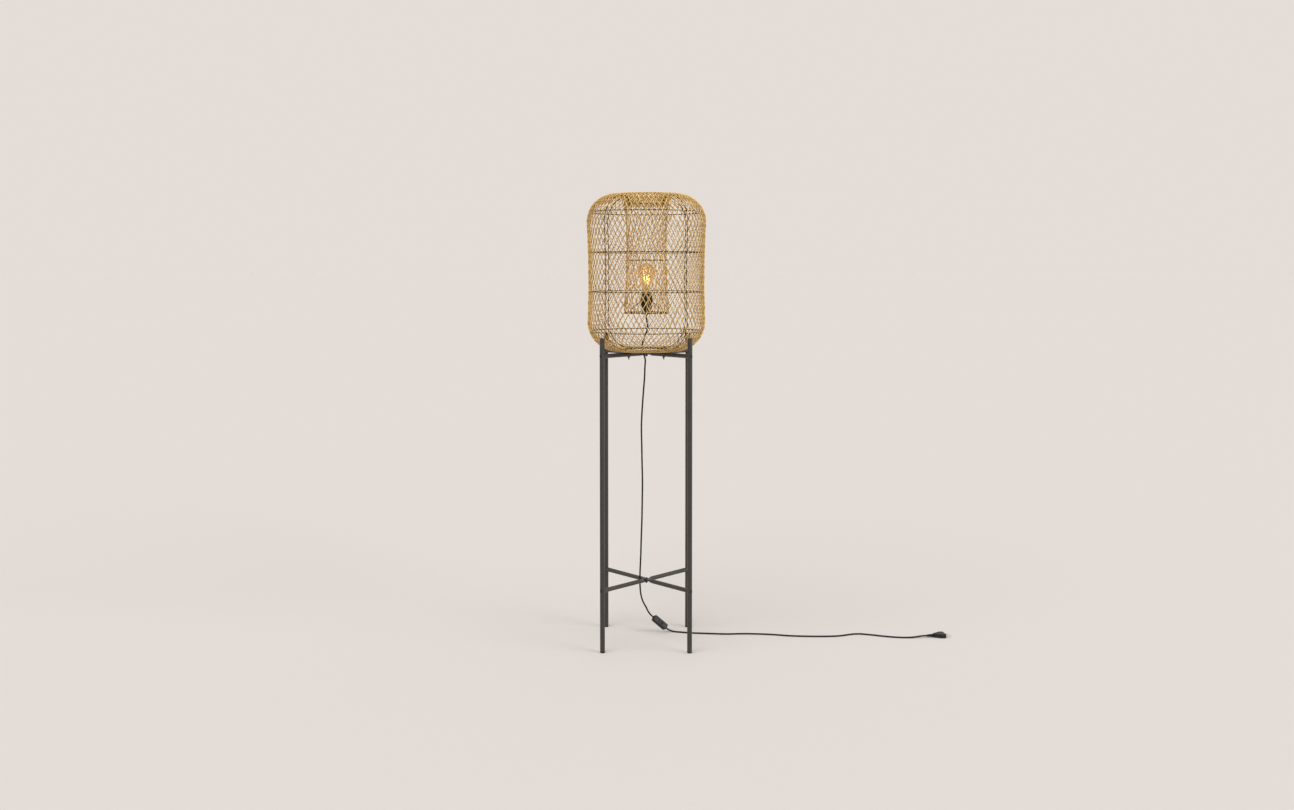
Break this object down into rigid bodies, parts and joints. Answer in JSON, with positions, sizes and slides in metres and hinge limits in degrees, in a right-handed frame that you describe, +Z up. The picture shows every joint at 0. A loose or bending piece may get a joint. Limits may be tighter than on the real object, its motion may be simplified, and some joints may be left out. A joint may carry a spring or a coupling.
{
  "type": "floor lamp with woven shade",
  "caption": "Floor lamp: tall double-walled woven rattan shade, waisted barrel shape, on a black tube stand with crossed bars, bulb in the inner sleeve, hanging cord with switch and plug.",
  "frame": {"origin": "centre of the four feet, on the floor", "axes": "+Z up along the lamp's axis, -Y the front, +X the side where the cord runs off"},
  "size_m": [1.2336, 0.4, 1.5],
  "materials": {
    "black_steel": "satin black powder coat",
    "black_bolts": "black oxide",
    "bare_steel": "plain",
    "brown_wire": "dark brown lacquer",
    "rattan": "natural rattan core, clear lacquer",
    "black_plastic": "moulded",
    "black_rubber": "smooth sheath",
    "white_ceramic": "glazed",
    "brass": "plain",
    "zinc_screws": "zinc plated",
    "plated_pins": "nickel plated",
    "amber_glass": "amber tinted, clear",
    "clear_glass": "clear",
    "black_glass": "vitrified insulator",
    "filament": "glowing"
  },
  "bodies": {
    "lamp": {"leg_front_left": "black_steel", "leg_front_right": "black_steel", "leg_rear_left": "black_steel", "leg_rear_right": "black_steel", "upper_cross_bar_a": "black_steel", "upper_cross_bar_b": "black_steel", "lower_cross_bar_a": "black_steel", "lower_cross_bar_b": "black_steel", "leg_bolts": "black_bolts", "centre_bolts": "black_bolts", "centre_nuts": "black_bolts", "clamp_bolts": "black_bolts", "clamp_nuts": "black_bolts", "clamp_plates": "black_bolts", "bar_end_plugs": "bare_steel", "holder_contact": "bare_steel", "hoop_top": "brown_wire", "hoop_upper": "brown_wire", "hoop_lower": "brown_wire", "hoop_bottom": "brown_wire", "mouth_ring": "brown_wire", "sleeve_hoop": "brown_wire", "base_ring_outer": "brown_wire", "base_ring_inner": "brown_wire", "holder_spider": "brown_wire", "rib_front_left": "brown_wire", "rib_front_right": "brown_wire", "rib_rear_left": "brown_wire", "rib_rear_right": "brown_wire", "shade_weave_base": "rattan", "shade_weave_side": "rattan", "shade_weave_shoulder": "rattan", "shade_inner_sleeve": "rattan", "leg_top_caps": "black_plastic", "leg_hole_covers": "black_plastic", "foot_glides": "black_plastic", "shade_saddles": "black_plastic", "cord_grip": "black_plastic", "holder_cap": "black_plastic", "holder_shell": "black_plastic", "shade_ring_lower": "black_plastic", "shade_ring_upper": "black_plastic", "switch_base": "black_plastic", "switch_cover": "black_plastic", "plug_body": "black_plastic", "cord_upper": "black_rubber", "cord_lower": "black_rubber", "switch_collars": "black_rubber", "plug_strain_relief": "black_rubber", "holder_insulator": "white_ceramic", "holder_thread_shell": "brass", "switch_contacts": "brass", "switch_screws": "zinc_screws", "plug_pins": "plated_pins"},
    "bulb": {"bulb_glass": "amber_glass", "bulb_cap": "bare_steel", "bulb_contact": "black_glass", "bulb_stem": "clear_glass", "bulb_filaments": "filament"},
    "rocker": {"switch_rocker": "black_plastic"}
  },
  "joints": [
    {"name": "bulb_lift", "type": "slide", "parent": "lamp", "child": "bulb", "axis": [0, 0, 1], "range_m": [0, 0.37]},
    {"name": "rocker_tilt", "type": "hinge", "parent": "lamp", "child": "rocker", "pos_m": [0.04789, 0.06684, 0.03815], "axis": [0.4389, 0.6343, 0.6364], "range_deg": [0, 14]}
  ]
}
